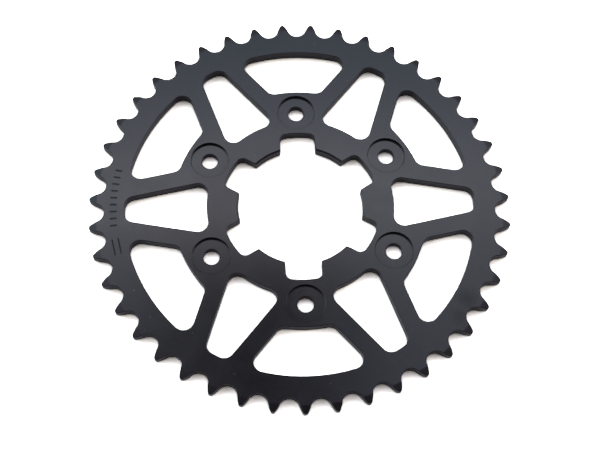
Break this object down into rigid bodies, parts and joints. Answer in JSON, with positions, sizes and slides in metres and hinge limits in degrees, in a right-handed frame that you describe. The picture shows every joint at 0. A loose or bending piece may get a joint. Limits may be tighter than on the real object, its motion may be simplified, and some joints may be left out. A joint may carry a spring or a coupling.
{
  "type": "rear sprocket",
  "caption": "Flat toothed plate that a roller chain drives, with V-shaped spokes, recessed bolt holes and a lugged hub opening, for a motorcycle's rear wheel.",
  "frame": {"origin": "centre of the bolt circle, on the back (mounting) face", "axes": "+Z along the hub axis, from the back face towards the recessed front face; +Y through the middle of one bolt hole"},
  "size_m": [0.2232, 0.2231, 0.006],
  "materials": {
    "black_coat": "satin black coat over machined steel, slightly grainy"
  },
  "bodies": {
    "root": {"sprocket_plate": "black_coat"}
  },
  "joints": []
}
